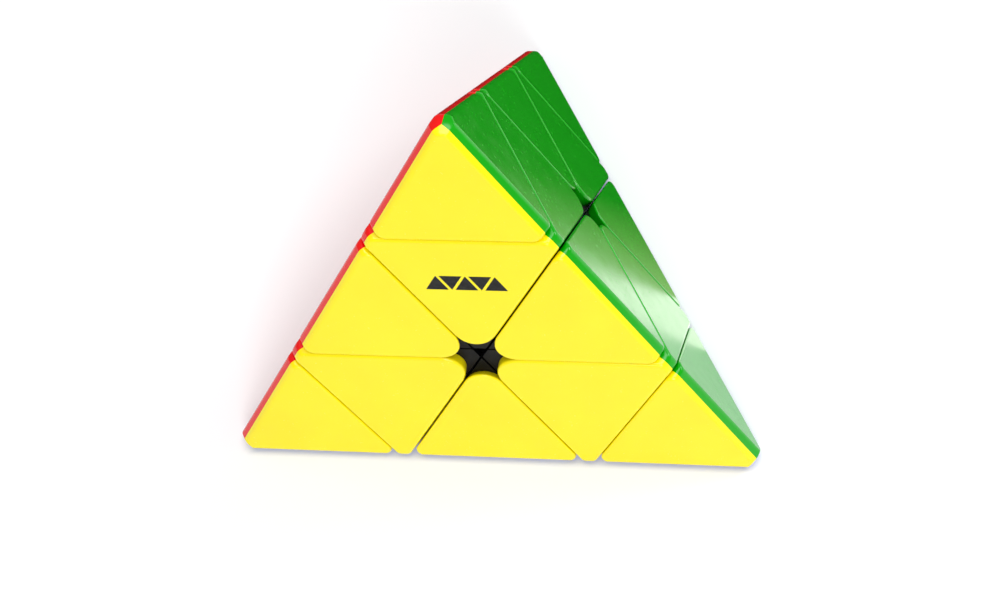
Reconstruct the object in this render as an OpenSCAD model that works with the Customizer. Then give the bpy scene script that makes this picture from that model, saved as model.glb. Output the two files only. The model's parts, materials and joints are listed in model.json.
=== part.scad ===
// Pyramid twisty puzzle: four turning layers, each with a tip that turns by itself.
// The origin is the centre of the core. The puzzle stands on its blue face, with one tip straight up.

/* [Pyramid] */
// Length of an edge of the pyramid, measured as if it had no bevels
edge = 96; // [94:1:104]
// Gap between neighbouring pieces
gap = 0.35; // [0.3:0.05:0.45]
// Thickness of the coloured caps, which also sets the width of the bevels
cap_t = 1.8; // [1.5:0.1:2]
// Radius of the caps' corners around the star-shaped opening in each face
star_round = 3.4; // [2.6:0.2:4]
// Radius of the dome at the end of each tip
nose_r = 5; // [4.6:0.1:5.2]

/* [Mechanism] */
// Radius of the ball-shaped space that the feet of the pieces turn in
shell_r = 16; // [15.6:0.1:16]
// Radius of the ball-shaped space around the core
core_r = 9; // [8.6:0.1:9.2]
// Distance from the core's centre to the planes that divide the feet
foot_d = 2.5; // [2:0.1:3]
// Radius of the arms of the core
arm_r = 4; // [3.6:0.1:4.2]
// Radius of the bore that holds each spring
housing_r = 3.2; // [3.1:0.05:3.3]

/* [Fasteners] */
// Radius of the shank of a screw
shank_r = 1.3; // [1.2:0.05:1.4]
// Radius of the head of a screw
head_r = 2.6; // [2.4:0.1:2.7]
// Thickness of the head of a screw
head_t = 1.7; // [1.5:0.1:1.8]
// Thickness of a washer
washer_t = 0.5; // [0.4:0.1:0.6]
// Radius of the wire of a spring
wire_r = 0.35; // [0.3:0.05:0.4]
// Length of a spring as it is fitted
spring_l = 8; // [7.6:0.1:8.4]
// Number of turns in a spring
spring_turns = 5.5; // [4.5:0.5:5.5]

/* [Hidden] */
$fn = 96;

// Corners of the pyramid, and the unit vectors that point to them from the core
TOP = 0;
LEFT = 1;
RIGHT = 2;
REAR = 3;
CORNERS = [TOP, LEFT, RIGHT, REAR];
CORNER_NAME = ["top", "left", "right", "rear"];
TOWARDS = [
    [0, 0, 1],
    [-sqrt(6) / 3, -sqrt(2) / 3, -1 / 3],
    [sqrt(6) / 3, -sqrt(2) / 3, -1 / 3],
    [0, 2 * sqrt(2) / 3, -1 / 3],
];
EDGES = [[TOP, LEFT], [TOP, RIGHT], [TOP, REAR], [LEFT, RIGHT], [LEFT, REAR], [RIGHT, REAR]];

// Each face has the number of the corner opposite it. Of two faces that meet, the one
// with the higher rank wraps round the edge, so that the bevel has its colour.
FACE_NAME = ["blue", "green", "red", "yellow"];
FACE_COLOUR = ["#0a4fc4", "#12a016", "#e31414", "#fff000"];
FACE_RANK = [2, 1, 3, 0];
BLACK = "#141416";
STEEL = "#c4c8cc";

// Sine of the angle between two faces
face_sine = 2 * sqrt(2) / 3;
face_d = edge / (2 * sqrt(6));
layer_d = face_d / 3;
tip_d = face_d * 5 / 3;
vertex_d = face_d * 3;
// How far each bevel comes in from the sharp edge, along either face
bevel_w = cap_t / face_sine;
bevel_d = edge / (2 * sqrt(2)) - bevel_w * sqrt(2 / 3);
// The centre of the dome on a tip, which ends below the point where the bevels would meet
nose_d = vertex_d - 2.5 * bevel_w - nose_r;
reach = 2 * edge;
half_gap = gap / 2;
// How far a tool that cuts right through a piece runs past it
past_end = 1;

// The ball in the middle of the core, and how far inside it each arm starts
ball_r = 6.2;
arm_overlap = 0.3;
arm_start = sqrt(ball_r * ball_r - arm_r * arm_r) - arm_overlap;

// Heights along a turning axis, from the core's centre. The spring stands on the floor
// of its bore and pushes on the washer under the head of the screw.
floor_t = 3.2;
spring_slack = 0.1;
arm_end = core_r;
floor_bottom = arm_end + gap;
floor_top = floor_bottom + floor_t;
spring_bottom = floor_top + spring_slack;
washer_bottom = spring_bottom + spring_l + spring_slack;
head_bottom = washer_bottom + washer_t;
screw_end = 3;
thread_bottom = screw_end - 0.3;
washer_slack = 0.3;
washer_hole_r = shank_r + 0.1;
coil_slack = 0.5;
coil_r = housing_r - wire_r - coil_slack;
wire_sides = 6;
rings_a_turn = 12;

// The collar on an axial piece, and the lip round it that a tip clips over
collar_r = 4.4;
collar_h = 3.9;
collar_top = tip_d + collar_h;
lip_r = 4.9;
lip_t = 1.4;
lip_bottom = tip_d + 2.1;
lip_top = lip_bottom + lip_t;
socket_slack = 0.3;

function others(used) = [for (i = CORNERS) if (len(search(i, used)) == 0) i];
function unit(v) = v / norm(v);
// The direction in a face from its centre towards one of its corners
function in_face(face, corner) = unit(TOWARDS[corner] + TOWARDS[face] / 3);

function axial_name(i) = str("axial_", CORNER_NAME[i]);
function tip_name(i) = str("tip_", CORNER_NAME[i]);
function edge_name(e) = str("edge_", CORNER_NAME[e[0]], "_", CORNER_NAME[e[1]]);
// The nodes of a piece: its black base, and a cap for each face that it shows
function piece_nodes(name, seen) =
    concat([str(name, "_base")], [for (k = seen) str(name, "_cap_", FACE_NAME[k])]);
AXIAL_NODES = [for (i = CORNERS) each piece_nodes(axial_name(i), others([i]))];
TIP_NODES = [for (i = CORNERS) each piece_nodes(tip_name(i), others([i]))];
EDGE_NODES = [for (e = EDGES) each piece_nodes(edge_name(e), others(e))];

// Turns +Z to point along a direction
module along(v) {
    rotate([0, acos(v[2]), atan2(v[1], v[0])]) children();
}

// Everything further from the core than a plane, in the direction v
module past(v, d) {
    along(v) translate([-reach, -reach, d]) cube([2 * reach, 2 * reach, reach]);
}

// Everything nearer than that plane
module short_of(v, d) {
    along(v) translate([-reach, -reach, d - 2 * reach]) cube(2 * reach);
}

// Keeps what lies past the planes of some corners and short of the planes of the others
module in_zone(over, over_d, under, under_d) {
    difference() {
        children();
        for (i = over) short_of(TOWARDS[i], over_d + half_gap);
        for (i = under) past(TOWARDS[i], under_d - half_gap);
    }
}

// The whole pyramid, with its faces moved inwards
module pyramid(inset = 0) {
    difference() {
        cube(reach, center = true);
        for (k = CORNERS) past(-TOWARDS[k], face_d - inset);
    }
}

module bevelled_pyramid() {
    difference() {
        pyramid();
        for (e = EDGES) past(unit(TOWARDS[e[0]] + TOWARDS[e[1]]), bevel_d);
    }
}

// A ball-shaped wall
module shell(inner, outer) {
    difference() {
        sphere(r = outer);
        sphere(r = inner);
    }
}

// One face's share of the skin, for a piece that shows the faces in seen
module skin(face, seen) {
    difference() {
        bevelled_pyramid();
        short_of(-TOWARDS[face], face_d - cap_t);
        for (k = seen) if (FACE_RANK[k] > FACE_RANK[face]) past(-TOWARDS[k], face_d - cap_t);
    }
}

// What a cap loses where its corner rounds off towards the centre of its face
module star_cut(face, inwards) {
    out = -TOWARDS[face];
    side = cross(out, inwards);
    corner = gap / face_sine;
    depth = 3 * cap_t;
    multmatrix([
        [inwards[0], side[0], out[0], 0],
        [inwards[1], side[1], out[1], 0],
        [inwards[2], side[2], out[2], 0],
    ])
        translate([0, 0, face_d - 2 * cap_t])
            difference() {
                translate([-star_round, -2 * star_round, 0])
                    cube([corner + 2.5 * star_round, 4 * star_round, depth]);
                translate([corner + 2 * star_round, 0, -past_end])
                    cylinder(r = star_round, h = depth + 2 * past_end);
            }
}

// The core: a ball with an arm for each layer, drilled for the screws
module core() {
    color(BLACK)
        difference() {
            union() {
                sphere(r = ball_r);
                for (v = TOWARDS)
                    along(v) translate([0, 0, arm_start]) cylinder(r = arm_r, h = arm_end - arm_start);
            }
            for (v = TOWARDS)
                along(v) translate([0, 0, thread_bottom]) cylinder(r = shank_r, h = core_r);
        }
}

// Screws: a pan head with a cross recess on a plain shank
module screw() {
    recess_w = 0.7;
    recess_l = 2.8;
    recess_t = 1;
    edge_cut = 0.5;
    difference() {
        rotate_extrude()
            polygon([
                [0, screw_end], [shank_r - edge_cut, screw_end], [shank_r, screw_end + edge_cut],
                [shank_r, head_bottom], [head_r, head_bottom], [head_r, head_bottom + head_t - edge_cut],
                [head_r - edge_cut, head_bottom + head_t], [0, head_bottom + head_t],
            ]);
        translate([0, 0, head_bottom + head_t])
            for (turn = [0, 90])
                rotate([0, 0, turn]) cube([recess_l, recess_w, 2 * recess_t], center = true);
    }
}

module layer_screws() {
    color(STEEL) for (v = TOWARDS) along(v) screw();
}

module layer_washers() {
    color(STEEL)
        for (v = TOWARDS) along(v)
            translate([0, 0, washer_bottom])
                difference() {
                    cylinder(r = housing_r - washer_slack, h = washer_t);
                    translate([0, 0, -past_end]) cylinder(r = washer_hole_r, h = washer_t + 2 * past_end);
                }
}

// Spring: a round wire swept up a helix
module coil_spring() {
    sides = wire_sides;
    steps = rings_a_turn * spring_turns;
    rise = spring_l - 2 * wire_r;
    rings = [for (s = [0:steps]) for (k = [0:sides - 1])
        let (turn = 360 * s / rings_a_turn, round = 360 * k / sides, r = coil_r + wire_r * cos(round))
        [r * cos(turn), r * sin(turn), spring_bottom + wire_r + rise * s / steps + wire_r * sin(round)]];
    wall = [for (s = [0:steps - 1]) for (k = [0:sides - 1])
        let (here = s * sides, above = here + sides, next = (k + 1) % sides)
        [here + k, here + next, above + next, above + k]];
    start = [for (k = [sides - 1:-1:0]) k];
    end = [for (k = [0:sides - 1]) steps * sides + k];
    polyhedron(points = rings, faces = concat(wall, [start, end]));
}

module layer_springs() {
    color(STEEL) for (v = TOWARDS) along(v) coil_spring();
}

// Axial piece: a block under the caps, a neck, a foot in the ball-shaped space, and a collar
module axial_base(i) {
    v = TOWARDS[i];
    rest = others([i]);
    color(BLACK)
        difference() {
            union() {
                in_zone([i], layer_d, rest, layer_d)
                    difference() {
                        pyramid(cap_t);
                        sphere(r = shell_r + half_gap);
                        past(v, tip_d - half_gap);
                    }
                in_zone([i], layer_d, rest, foot_d) shell(shell_r - gap, shell_r + gap);
                in_zone([i], foot_d, rest, foot_d) shell(core_r + half_gap, shell_r - half_gap);
                along(v) {
                    translate([0, 0, shell_r + gap]) cylinder(r = collar_r, h = collar_top - shell_r - gap);
                    translate([0, 0, lip_bottom]) cylinder(r = lip_r, h = lip_top - lip_bottom);
                }
            }
            along(v) {
                cylinder(r = arm_r + gap, h = floor_bottom);
                cylinder(r = shank_r + gap, h = floor_top + past_end);
                translate([0, 0, floor_top]) cylinder(r = housing_r, h = tip_d);
            }
        }
}

module axial_cap(i, face) {
    color(FACE_COLOUR[face])
        in_zone([i], layer_d, others([i]), layer_d)
            difference() {
                skin(face, others([i]));
                past(TOWARDS[i], tip_d - half_gap);
                star_cut(face, in_face(face, i));
            }
}

// Tip: a solid base with a socket that clips over the axial piece's collar
module tip_base(i) {
    v = TOWARDS[i];
    color(BLACK)
        difference() {
            pyramid(cap_t);
            short_of(v, tip_d + half_gap);
            along(v) {
                cylinder(r = collar_r + socket_slack, h = collar_top + socket_slack);
                translate([0, 0, lip_bottom - socket_slack])
                    cylinder(r = lip_r + socket_slack, h = lip_top - lip_bottom + 2 * socket_slack);
            }
        }
}

module tip_cap(i, face) {
    v = TOWARDS[i];
    color(FACE_COLOUR[face])
        difference() {
            skin(face, others([i]));
            short_of(v, tip_d + half_gap);
            along(v)
                difference() {
                    translate([0, 0, nose_d]) cylinder(r = 3 * nose_r, h = 3 * nose_r);
                    translate([0, 0, nose_d]) sphere(r = nose_r);
                }
        }
}

// Edge piece: a block under the caps, a neck and a foot held behind the axial pieces
module edge_base(e) {
    rest = others(e);
    color(BLACK)
        union() {
            in_zone(e, layer_d, rest, layer_d)
                difference() {
                    pyramid(cap_t);
                    sphere(r = shell_r + half_gap);
                }
            in_zone(e, layer_d, rest, foot_d) shell(shell_r - gap, shell_r + gap);
            in_zone(e, foot_d, rest, foot_d) shell(core_r + half_gap, shell_r - half_gap);
        }
}

module edge_cap(e, face) {
    far = others(concat(e, [face]))[0];
    color(FACE_COLOUR[face])
        in_zone(e, layer_d, others(e), layer_d)
            difference() {
                skin(face, others(e));
                star_cut(face, -in_face(face, far));
            }
}

core();
layer_screws();
layer_washers();
layer_springs();
for (i = CORNERS) {
    axial_base(i);
    tip_base(i);
    for (k = others([i])) {
        axial_cap(i, k);
        tip_cap(i, k);
    }
}
for (e = EDGES) {
    edge_base(e);
    for (k = others(e)) {
        edge_cap(e, k);
    }
}
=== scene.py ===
"""Looks of the pyramid twisty puzzle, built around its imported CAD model.

Each of the fourteen outer pieces is a block cut out with planes, rounded round its faces and
split into its coloured caps. The black bases and the steel fasteners are the CAD nodes with
better materials. Pieces are made in millimetres and turned into metres when they are finished.
"""

import json
import math
from itertools import combinations

import bmesh
import bpy
from mathutils import Matrix, Vector


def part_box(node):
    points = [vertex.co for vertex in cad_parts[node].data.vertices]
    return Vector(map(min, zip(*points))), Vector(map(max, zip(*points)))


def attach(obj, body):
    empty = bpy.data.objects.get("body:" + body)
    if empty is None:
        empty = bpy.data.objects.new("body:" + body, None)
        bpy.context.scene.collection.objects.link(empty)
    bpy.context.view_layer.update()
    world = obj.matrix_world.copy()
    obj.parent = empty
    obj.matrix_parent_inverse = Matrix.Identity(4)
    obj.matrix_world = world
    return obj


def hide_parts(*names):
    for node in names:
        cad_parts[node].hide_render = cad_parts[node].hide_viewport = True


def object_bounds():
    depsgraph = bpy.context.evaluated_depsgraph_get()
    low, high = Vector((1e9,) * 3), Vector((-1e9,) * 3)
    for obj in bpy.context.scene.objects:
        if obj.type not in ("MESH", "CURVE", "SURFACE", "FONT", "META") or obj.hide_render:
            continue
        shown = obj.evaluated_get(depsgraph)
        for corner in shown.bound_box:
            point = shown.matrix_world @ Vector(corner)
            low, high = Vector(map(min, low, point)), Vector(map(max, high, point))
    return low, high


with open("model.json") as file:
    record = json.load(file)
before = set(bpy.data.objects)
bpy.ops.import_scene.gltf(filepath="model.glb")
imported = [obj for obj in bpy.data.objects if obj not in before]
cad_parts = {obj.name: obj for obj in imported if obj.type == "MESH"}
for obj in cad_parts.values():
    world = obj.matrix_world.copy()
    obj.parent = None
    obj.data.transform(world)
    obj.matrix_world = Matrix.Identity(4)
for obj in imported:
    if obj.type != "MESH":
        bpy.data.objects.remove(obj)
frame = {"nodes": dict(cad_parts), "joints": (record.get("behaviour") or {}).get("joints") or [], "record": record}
cad_low, cad_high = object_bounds()

MM = 0.001
# Sine of the angle between two faces
FACE_SINE = math.sqrt(8) / 3

# ---------------------------------------------------------------- sizes, from the frame

# The four turning axes point from the core to the corners.
TOWARDS = {
    joint["name"].split("_")[1]: Vector(joint["axis"]).normalized()
    for joint in frame["joints"]
    if joint["name"].startswith("layer_")
}
# Each face has the name of its colour, and lies opposite a corner. Where two faces meet, the
# later one in this order wraps round the edge, so most of the bevel there has its colour.
FACES = {"yellow": "rear", "green": "left", "blue": "top", "red": "right"}
BODY_OF = {
    node: body
    for body, nodes in frame["record"]["behaviour"]["bodies"].items()
    for node in nodes
}

blue_low, blue_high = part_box("edge_left_right_cap_blue")
face_d = -cad_low.z / MM
cap_t = (blue_high.z - blue_low.z) / MM
layer_d = face_d / 3
tip_d = face_d * 5 / 3
nose_top = cad_high.z / MM
slab_d = face_d - cap_t
# The bevel planes pass through the lines where the slabs of the caps reach the faces.
bevel_d = face_d * math.sqrt(3) - cap_t * math.sqrt(3) / 2

# ---------------------------------------------------------------- sizes of the rounding

# The caps nearly touch, except at the cut round the right-hand layer, which stands open.
GAP_SIDE = {corner: 0.12 if corner == "right" else 0.05 for corner in TOWARDS}
TIP_GAP_SIDE = 0.04
# The corners that stand round the star-shaped openings
AXIAL_STAR_R = 3.45
AXIAL_STAR_STEPS = 12
EDGE_STAR_R = 3.85
EDGE_STAR_STEPS = 9
# The corners where a wall meets the bevel along a ridge
END_R = 1.1
END_STEPS = 8
# The rims of the coloured faces
RIM_R = 0.5
RIM_SEGMENTS = 5
# The dome at each corner, in rings of flats this many degrees apart
NOSE_R = 5.0
NOSE_STEP = 4
NOSE_RINGS = 6
NOSE_RING_FLATS = 6
# The soft blend between the dome and each flat that it meets
BLEND_R = 0.5
BLEND_SPOKES = 8
BLEND_STEPS = 5
# How much of a bevel has the colour of the earlier of its two faces
WRAP = 0.4
# Edges flatter than this many degrees are shaded smooth.
SMOOTH_BELOW = 32
# The side of the cube that a block is cut from
REACH = 200.0
# Points nearer than this are one point.
TOUCHING = 0.0001

# Kinds of surface on a block, kept as a number on each of its mesh faces. A new block is all
# INSIDE, which is 0.
INSIDE, FACE, SIDE = range(3)


def others(*used):
    return [corner for corner in TOWARDS if corner not in used]


def outwards(colour):
    """The direction that a face looks in."""
    return -TOWARDS[FACES[colour]]


def faces_of(corners):
    """The faces that meet at all the corners given, in the order that they wrap."""
    return [colour for colour, opposite in FACES.items() if opposite not in corners]


def between(first, second, share):
    """The unit vector that lies a share of the way round from one unit vector to another."""
    angle = first.angle(second)
    mixed = first * math.sin((1 - share) * angle) + second * math.sin(share * angle)
    return mixed / math.sin(angle)


def ridge(near, far):
    """The bevel plane along the ridge between two corners: its outward normal and its distance."""
    return (TOWARDS[near] + TOWARDS[far]).normalized(), bevel_d


# ---------------------------------------------------------------- cutting blocks


def new_block():
    mesh = bmesh.new()
    bmesh.ops.create_cube(mesh, size=REACH)
    mesh.faces.layers.int.new("kind")
    return mesh


def cut(mesh, normal, distance, kind):
    """Cuts away what lies beyond a plane, and closes the mesh with a face of the kind given."""
    bmesh.ops.bisect_plane(
        mesh,
        geom=mesh.verts[:] + mesh.edges[:] + mesh.faces[:],
        dist=TOUCHING,
        plane_co=normal * distance,
        plane_no=normal,
        clear_outer=True,
    )
    bmesh.ops.remove_doubles(mesh, verts=mesh.verts, dist=TOUCHING)
    rim = [edge for edge in mesh.edges if edge.is_boundary]
    if rim:
        kinds = mesh.faces.layers.int["kind"]
        for face in bmesh.ops.edgeloop_fill(mesh, edges=rim)["faces"]:
            face[kinds] = kind


def round_corner(mesh, first, second, radius, steps):
    """Rounds the corner between two planes, each given as its outward normal and its distance."""
    (normal_a, distance_a), (normal_b, distance_b) = first, second
    near = normal_a.dot(normal_b)
    a = distance_a - radius
    b = distance_b - radius
    middle = (normal_a * (a - near * b) + normal_b * (b - near * a)) / (1 - near ** 2)
    for step in range(1, steps):
        normal = between(normal_a, normal_b, step / steps)
        cut(mesh, normal, normal.dot(middle) + radius, SIDE)


def round_end(mesh, wall, near, far):
    """Rounds the corner between a wall and the bevel along the ridge between two corners."""
    round_corner(mesh, wall, ridge(near, far), END_R, END_STEPS)


def cut_outside(mesh, corners, ridges):
    """Cuts the faces that meet at the corners given, and the bevels along the ridges given."""
    for colour in faces_of(corners):
        cut(mesh, outwards(colour), face_d, FACE)
    for near, far in ridges:
        cut(mesh, *ridge(near, far), SIDE)


def edge_block(first, second):
    mesh = new_block()
    walls = [(-TOWARDS[corner], -(layer_d + GAP_SIDE[corner])) for corner in (first, second)]
    for wall in walls:
        cut(mesh, *wall, SIDE)
    cut_outside(mesh, (first, second), [(first, second)])
    round_corner(mesh, *walls, EDGE_STAR_R, EDGE_STAR_STEPS)
    for wall in walls:
        round_end(mesh, wall, first, second)
    return mesh


def axial_block(corner, colour):
    """The block of an axial piece, with the corner that it has in one face rounded."""
    mesh = new_block()
    top = (TOWARDS[corner], tip_d - TIP_GAP_SIDE)
    cut(mesh, *top, SIDE)
    cut(mesh, -TOWARDS[corner], -layer_d, INSIDE)
    sides = {other: (TOWARDS[other], layer_d - GAP_SIDE[other]) for other in others(corner)}
    for side in sides.values():
        cut(mesh, *side, SIDE)
    cut_outside(mesh, (corner,), [(corner, other) for other in others(corner)])
    out = outwards(colour)
    # Planes square to the face, through the lines where the two layers' walls meet it
    walls = [
        ((TOWARDS[other] - out / 3).normalized(), -GAP_SIDE[other] / FACE_SINE)
        for other in others(corner, FACES[colour])
    ]
    round_corner(mesh, *walls, AXIAL_STAR_R, AXIAL_STAR_STEPS)
    for other, side in sides.items():
        round_end(mesh, top, corner, other)
        round_end(mesh, side, corner, other)
    return mesh


def tip_block(corner):
    mesh = new_block()
    wall = (-TOWARDS[corner], -(tip_d + TIP_GAP_SIDE))
    cut(mesh, *wall, SIDE)
    cut_outside(mesh, (corner,), [(corner, other) for other in others(corner)])
    for other in others(corner):
        round_end(mesh, wall, corner, other)
    return mesh


def round_edges(mesh):
    """Rounds the rims of a block's coloured faces and returns it as a new mesh."""
    kinds = mesh.faces.layers.int["kind"]
    weights = mesh.edges.layers.float.new("bevel_weight_edge")
    for edge in mesh.edges:
        pair = {face[kinds] for face in edge.link_faces}
        edge[weights] = 1 if pair == {FACE, SIDE} else 0
    bmesh.ops.recalc_face_normals(mesh, faces=mesh.faces)
    data = bpy.data.meshes.new("block")
    mesh.to_mesh(data)
    mesh.free()
    block = bpy.data.objects.new("block", data)
    bpy.context.collection.objects.link(block)
    rounding = block.modifiers.new("rounding", "BEVEL")
    rounding.limit_method = "WEIGHT"
    rounding.width = RIM_R
    rounding.segments = RIM_SEGMENTS
    rounding.use_clamp_overlap = False
    rounded = bmesh.new()
    rounded.from_object(block, bpy.context.evaluated_depsgraph_get())
    bpy.data.objects.remove(block)
    bpy.data.meshes.remove(data)
    return rounded


def cut_dome(mesh, axis, middle):
    """Cuts a tip with planes that touch its dome, in rings round its axis."""
    side = axis.orthogonal().normalized()
    cut(mesh, axis, nose_top, FACE)
    for ring in range(1, NOSE_RINGS + 1):
        tilt = math.radians(NOSE_STEP * ring)
        turns = NOSE_RING_FLATS * ring
        for turn in range(turns):
            sideways = Matrix.Rotation(2 * math.pi * turn / turns, 3, axis) @ side
            normal = axis * math.cos(tilt) + sideways * math.sin(tilt)
            cut(mesh, normal, normal.dot(middle) + NOSE_R, FACE)


def blend_dome(mesh, axis, middle, normal, distance):
    """Rounds the edge between the dome of a tip and one flat, by its normal and its distance.

    The blend's centres lie on a circle, and each spoke from the circle's middle leads to one.
    """
    depth = distance - BLEND_R - normal.dot(middle)
    radius = math.sqrt((NOSE_R - BLEND_R) ** 2 - depth ** 2)
    inwards = (axis - normal * normal.dot(axis)).normalized()
    for turn in range(-BLEND_SPOKES, BLEND_SPOKES + 1):
        spoke = Matrix.Rotation(math.radians(NOSE_STEP * turn), 3, normal) @ inwards
        centre = middle + normal * depth + spoke * radius
        dome_normal = (centre - middle).normalized()
        for step in range(1, BLEND_STEPS):
            tangent = between(normal, dome_normal, step / BLEND_STEPS)
            cut(mesh, tangent, tangent.dot(centre) + BLEND_R, FACE)


def round_nose(mesh, corner):
    """Gives a tip its dome, and blends the dome into the faces and bevels round it."""
    axis = TOWARDS[corner]
    middle = axis * (nose_top - NOSE_R)
    cut_dome(mesh, axis, middle)
    for colour in faces_of((corner,)):
        blend_dome(mesh, axis, middle, outwards(colour), face_d)
    for other in others(corner):
        blend_dome(mesh, axis, middle, *ridge(corner, other))


# ---------------------------------------------------------------- materials


def node_tree(name):
    """A new material, with its node tree, its shader and a point's place on the object."""
    material = bpy.data.materials.new(name)
    material.use_nodes = True
    tree = material.node_tree
    place = tree.nodes.new("ShaderNodeTexCoord").outputs["Object"]
    return material, tree, tree.nodes["Principled BSDF"], place


def feed(tree, socket, value):
    """Sets a socket to a constant, or links it to another node's output."""
    if isinstance(value, bpy.types.NodeSocket):
        tree.links.new(value, socket)
    else:
        socket.default_value = value


def set_sockets(tree, node, **values):
    """Feeds a node's sockets by name, with _ for each space in the name."""
    for name, value in values.items():
        feed(tree, node.inputs[name.replace("_", " ")], value)


def add(tree, kind, **values):
    node = tree.nodes.new(kind)
    set_sockets(tree, node, **values)
    return node


def calculate(tree, operation, *values):
    node = tree.nodes.new("ShaderNodeMath")
    node.operation = operation
    for socket, value in zip(node.inputs, values):
        feed(tree, socket, value)
    return node.outputs["Value"]


def noise(tree, place, scale, detail=2.0):
    """Noise whose grains are a given number to the metre."""
    return add(tree, "ShaderNodeTexNoise", Vector=place, Scale=scale, Detail=detail).outputs["Fac"]


def remap(tree, value, low, high, start=0.3, end=0.7):
    """Stretches values between start and end over the range from low to high."""
    limits = {"From_Min": start, "From_Max": end, "To_Min": low, "To_Max": high}
    return add(tree, "ShaderNodeMapRange", Value=value, **limits).outputs["Result"]


def tinted(tree, value, first, second):
    """A colour that goes from the first to the second as a value goes from 0 to 1."""
    ramp = add(tree, "ShaderNodeValToRGB", Fac=value)
    ramp.color_ramp.elements[0].color = (*first, 1)
    ramp.color_ramp.elements[1].color = (*second, 1)
    return ramp.outputs["Color"]


def bumps(tree, height, strength, depth):
    """Normals for bumps of a depth in metres, whose height goes from 0 to 1."""
    bump = add(tree, "ShaderNodeBump", Strength=strength, Distance=depth, Height=height)
    return bump.outputs["Normal"]


def scratches(tree, place, turn, scale):
    """Fine, sparse, straight scratches in one direction, as a value from 0 to 1."""
    stretch = (1.0, 0.02, 1.0)
    turned = add(tree, "ShaderNodeMapping", Vector=place, Rotation=turn, Scale=stretch)
    grains = noise(tree, turned.outputs["Vector"], scale, detail=1.0)
    return remap(tree, grains, low=0, high=1, start=0.7, end=0.76)


def gloss_plastic(name, colour, deep):
    """Glossy moulded plastic: a faint mould texture, uneven polish and a few hairline scratches."""
    material, tree, shader, place = node_tree(name)
    patches = remap(tree, noise(tree, place, scale=90.0, detail=3.0), low=0, high=1)
    polish = remap(tree, noise(tree, place, scale=350.0, detail=4.0), low=0.13, high=0.21)
    scratched = calculate(
        tree,
        "MAXIMUM",
        scratches(tree, place, turn=(0.3, 0.5, 0.4), scale=2500.0),
        scratches(tree, place, turn=(1.1, 0.2, 2.0), scale=2100.0),
    )
    scratch_roughness = 0.12
    orange_peel = noise(tree, place, scale=900.0)
    set_sockets(
        tree,
        shader,
        Base_Color=tinted(tree, patches, deep, colour),
        Roughness=calculate(tree, "MULTIPLY_ADD", scratched, scratch_roughness, polish),
        Normal=bumps(tree, orange_peel, strength=0.06, depth=0.00004),
        IOR=1.46,
    )
    return material


def black_plastic():
    """Satin black plastic with a fine spark-eroded grain."""
    material, tree, shader, place = node_tree("black_plastic")
    patches = remap(tree, noise(tree, place, scale=120.0, detail=3.0), low=0, high=1)
    polish = remap(tree, noise(tree, place, scale=700.0, detail=3.0), low=0.38, high=0.52)
    grain = noise(tree, place, scale=5000.0)
    set_sockets(
        tree,
        shader,
        Base_Color=tinted(tree, patches, (0.004, 0.004, 0.005), (0.010, 0.010, 0.012)),
        Roughness=polish,
        Normal=bumps(tree, grain, strength=0.25, depth=0.00003),
        Specular_IOR_Level=0.15,
    )
    return material


def steel():
    """Zinc-plated steel, a little cloudy."""
    material, tree, shader, place = node_tree("steel")
    clouds = remap(tree, noise(tree, place, scale=900.0, detail=4.0), low=0, high=1)
    polish = remap(tree, noise(tree, place, scale=2500.0, detail=3.0), low=0.22, high=0.40)
    grain = noise(tree, place, scale=6000.0)
    set_sockets(
        tree,
        shader,
        Base_Color=tinted(tree, clouds, (0.52, 0.53, 0.55), (0.70, 0.71, 0.72)),
        Roughness=polish,
        Normal=bumps(tree, grain, strength=0.2, depth=0.00002),
        Metallic=1.0,
    )
    return material


def ink():
    """Black printing ink with slightly uneven cover."""
    material, tree, shader, place = node_tree("ink")
    cover = remap(tree, noise(tree, place, scale=1500.0, detail=3.0), low=0, high=1)
    dullness = remap(tree, noise(tree, place, scale=3000.0), low=0.4, high=0.55)
    grain = noise(tree, place, scale=4000.0)
    set_sockets(
        tree,
        shader,
        Base_Color=tinted(tree, cover, (0.004, 0.004, 0.005), (0.02, 0.02, 0.02)),
        Roughness=dullness,
        Normal=bumps(tree, grain, strength=0.15, depth=0.00001),
        Specular_IOR_Level=0.2,
    )
    return material


PLASTIC = {
    "yellow": gloss_plastic("yellow_plastic", colour=(0.98, 0.83, 0.002), deep=(0.95, 0.79, 0.001)),
    "green": gloss_plastic("green_plastic", colour=(0.002, 0.365, 0.001), deep=(0.001, 0.345, 0.001)),
    "red": gloss_plastic("red_plastic", colour=(0.83, 0.004, 0.003), deep=(0.78, 0.003, 0.002)),
    "blue": gloss_plastic("blue_plastic", colour=(0.004, 0.075, 0.55), deep=(0.003, 0.065, 0.50)),
}
BLACK = black_plastic()
STEEL = steel()


# ---------------------------------------------------------------- pieces


def add_object(name, mesh, material):
    """Adds a mesh to the scene as an object with one material."""
    data = bpy.data.meshes.new(name)
    mesh.to_mesh(data)
    mesh.free()
    data.materials.append(material)
    thing = bpy.data.objects.new(name, data)
    bpy.context.collection.objects.link(thing)
    return thing


def finish_mesh(name, mesh, material):
    """Turns a mesh in millimetres into an object in metres, smooth on its curves only."""
    bmesh.ops.recalc_face_normals(mesh, faces=mesh.faces)
    mesh.transform(Matrix.Scale(MM, 4))
    piece = add_object(name, mesh, material)
    piece.data.shade_smooth()
    piece.data.set_sharp_from_angle(angle=math.radians(SMOOTH_BELOW))
    weighting = piece.modifiers.new("weighting", "WEIGHTED_NORMAL")
    weighting.keep_sharp = True
    return piece


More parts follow.
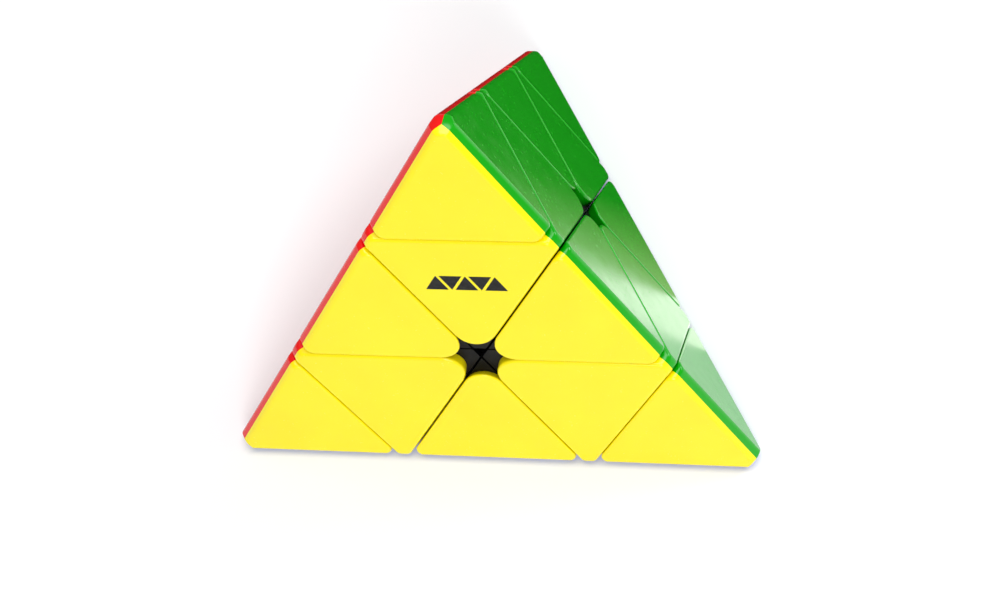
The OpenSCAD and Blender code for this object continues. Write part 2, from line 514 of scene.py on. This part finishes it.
def make_cap(block, name, corners, colour):
    """Keeps one face's cap of a rounded block, and lets it stand for the CAD cap.

    Along a bevel, two colours part at a plane through the line where the caps' backs meet.
    """
    cut(block, -outwards(colour), -slab_d, INSIDE)
    for earlier, later in combinations(faces_of(corners), 2):
        split = outwards(earlier) * WRAP - outwards(later) * (1 - WRAP)
        distance = (2 * WRAP - 1) * slab_d / split.length
        if colour == earlier:
            cut(block, -split.normalized(), -distance, INSIDE)
        if colour == later:
            cut(block, split.normalized(), distance, INSIDE)
    node = f"{name}_cap_{colour}"
    piece = finish_mesh(f"{node}_moulded", block, PLASTIC[colour])
    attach(piece, BODY_OF[node])
    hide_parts(node)


def make_caps():
    for corner in TOWARDS:
        tip = round_edges(tip_block(corner))
        round_nose(tip, corner)
        for colour in faces_of((corner,)):
            make_cap(tip.copy(), f"tip_{corner}", (corner,), colour)
            make_cap(round_edges(axial_block(corner, colour)), f"axial_{corner}", (corner,), colour)
    for corners in combinations(TOWARDS, 2):
        edge = round_edges(edge_block(*corners))
        for colour in faces_of(corners):
            make_cap(edge.copy(), "edge_{}_{}".format(*corners), corners, colour)


def make_print():
    """A row of small triangles printed on the yellow cap of the top axial piece."""
    count = 5
    side = 3.6
    height = side * math.sqrt(3) / 2
    pitch = 2.35
    rise = 0.94 * face_d
    sunk = 0.02
    proud = 0.025
    out = outwards("yellow")
    up = (TOWARDS["top"] - out * out.dot(TOWARDS["top"])).normalized()
    right = up.cross(out)
    outline = [(-side / 2, -height / 2), (side / 2, -height / 2), (0, height / 2)]
    mesh = bmesh.new()
    for index in range(count):
        # Every other triangle points down.
        flip = 1 if index % 2 == 0 else -1
        centre = out * face_d + up * rise + right * (pitch * (index - (count - 1) / 2))
        corners = [centre + right * x + up * (y * flip) for x, y in outline]
        back = [mesh.verts.new(corner - out * sunk) for corner in corners]
        front = [mesh.verts.new(corner + out * proud) for corner in corners]
        mesh.faces.new(back)
        mesh.faces.new(front)
        for k in range(len(outline)):
            mesh.faces.new([back[k - 1], back[k], front[k], front[k - 1]])
    piece = finish_mesh("printed_triangles", mesh, ink())
    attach(piece, "axial_top")


def dress_cad_nodes():
    for name, node in frame["nodes"].items():
        node.data.materials.clear()
        node.data.materials.append(STEEL if name.startswith("layer_") else BLACK)


# ---------------------------------------------------------------- studio


def make_floor():
    material, tree, shader, place = node_tree("floor")
    clouds = remap(tree, noise(tree, place, scale=6.0, detail=3.0), low=0, high=1)
    set_sockets(
        tree,
        shader,
        Base_Color=tinted(tree, clouds, (0.93, 0.93, 0.93), (0.95, 0.95, 0.95)),
        Roughness=0.7,
        Specular_IOR_Level=0.2,
    )
    mesh = bmesh.new()
    bmesh.ops.create_circle(mesh, cap_ends=True, radius=4.0, segments=96)
    floor = add_object("floor", mesh, material)
    floor.location.z = cad_low.z


def add_light(name, place, size, watts):
    """A round light that shines at the middle of the puzzle."""
    data = bpy.data.lights.new(name, "AREA")
    data.shape = "DISK"
    data.size = size
    data.energy = watts
    light = bpy.data.objects.new(name, data)
    aim = (-Vector(place)).to_track_quat("-Z", "Y").to_matrix().to_4x4()
    light.matrix_world = Matrix.Translation(place) @ aim
    bpy.context.collection.objects.link(light)


def make_lights():
    world = bpy.data.worlds.new("studio")
    world.use_nodes = True
    background = world.node_tree.nodes["Background"]
    set_sockets(world.node_tree, background, Color=(0.97, 0.98, 1.0, 1), Strength=0.35)
    bpy.context.scene.world = world
    add_light("key", place=(0.16, -0.79, 0.59), size=0.5, watts=4.4)
    add_light("overhead", place=(0.05, 0.1, 0.95), size=0.7, watts=5.1)
    add_light("fill", place=(0.45, 0.32, 0.32), size=0.3, watts=1.4)


def painted_reflection_glow(tree, place):
    """The reflection card's painted glow, which grows along x in steps that slant a little with y. It paints the
    reflection seen in the green face: dark towards the back of the card and a bright band near its front edge.
    """
    slant = 0.148
    # Each stop has its place in millimetres, its brightness, and how much of that its blue has.
    stops = [
        (16, 0.0, 0.5),
        (22, 0.25, 0.5),
        (29, 0.7, 0.6),
        (29, 0.8, 0.7),
        (29.3, 2.3, 0.93),
        (37, 2.3, 0.93),
    ]
    start = stops[0][0]
    end = stops[-1][0]
    split = add(tree, "ShaderNodeSeparateXYZ", Vector=place)
    across = calculate(tree, "MULTIPLY_ADD", split.outputs["Y"], -slant, split.outputs["X"])
    along = remap(tree, across, low=0, high=1, start=start * MM, end=end * MM)
    # Painted reflection: dark stops paint reflected shade, and the last bright stops paint a glowing band of
    # reflected light.
    ramp = add(tree, "ShaderNodeValToRGB", Fac=along)
    elements = ramp.color_ramp.elements
    while len(elements) < len(stops):
        elements.new(0.5)
    for element, (at, level, blue) in zip(elements, stops):
        element.position = (at - start) / (end - start)
        element.color = (level, level, level * blue, 1)
    return ramp.outputs["Color"]


def make_painted_reflection():
    """A card on the floor behind the puzzle that paints the reflection in the green face: dark at the back and
    glowing bright along its near edge.

    Only reflections see it: its dark part paints a shaded reflection over the upper part of the green face, and
    its glowing edge paints a pale reflected band lower down.
    """
    outline = [(35, -8), (44.4, 62), (60, 130), (-110, 130), (-50, 40), (1, 53)]
    lift = 0.5 * MM
    material, tree, shader, place = node_tree("painted_reflection_card")
    set_sockets(
        tree,
        shader,
        Base_Color=(0.02, 0.02, 0.02, 1),
        Roughness=0.9,
        Specular_IOR_Level=0.0,
        # Painted light: the card glows, though it is no lamp, so that the green face shows a bright reflected
        # band.
        Emission_Strength=1.0,
        Emission_Color=painted_reflection_glow(tree, place),
    )
    mesh = bmesh.new()
    mesh.faces.new([mesh.verts.new((x * MM, y * MM, cad_low.z + lift)) for x, y in outline])
    card = add_object("painted_reflection_card", mesh, material)
    # Hidden from all but glossy rays, so the card shows only as painted reflected light and shade.
    card.visible_camera = False
    card.visible_diffuse = False
    card.visible_shadow = False
    card.visible_transmission = False


def make_camera():
    """The camera goes round the object by azimuth, then up by elevation, then rolls."""
    azimuth, elevation, roll = map(math.radians, (23.68, 65.98, -20.3))
    distance = 359.3 * MM
    aim = Vector((0.93, -5.15, -2.27)) * MM
    data = bpy.data.cameras.new("camera")
    data.sensor_width = 36.0
    data.lens = 77.07
    data.clip_start = 0.01
    data.clip_end = 20.0
    camera = bpy.data.objects.new("camera", data)
    turn = (
        Matrix.Rotation(azimuth, 4, "Z")
        @ Matrix.Rotation(math.pi / 2 - elevation, 4, "X")
        @ Matrix.Rotation(roll, 4, "Z")
    )
    camera.matrix_world = Matrix.Translation(aim) @ turn @ Matrix.Translation((0, 0, distance))
    bpy.context.collection.objects.link(camera)
    bpy.context.scene.camera = camera


make_caps()
make_print()
dress_cad_nodes()
make_floor()
make_lights()
make_painted_reflection()
make_camera()
bpy.context.scene.view_settings.view_transform = "Standard"
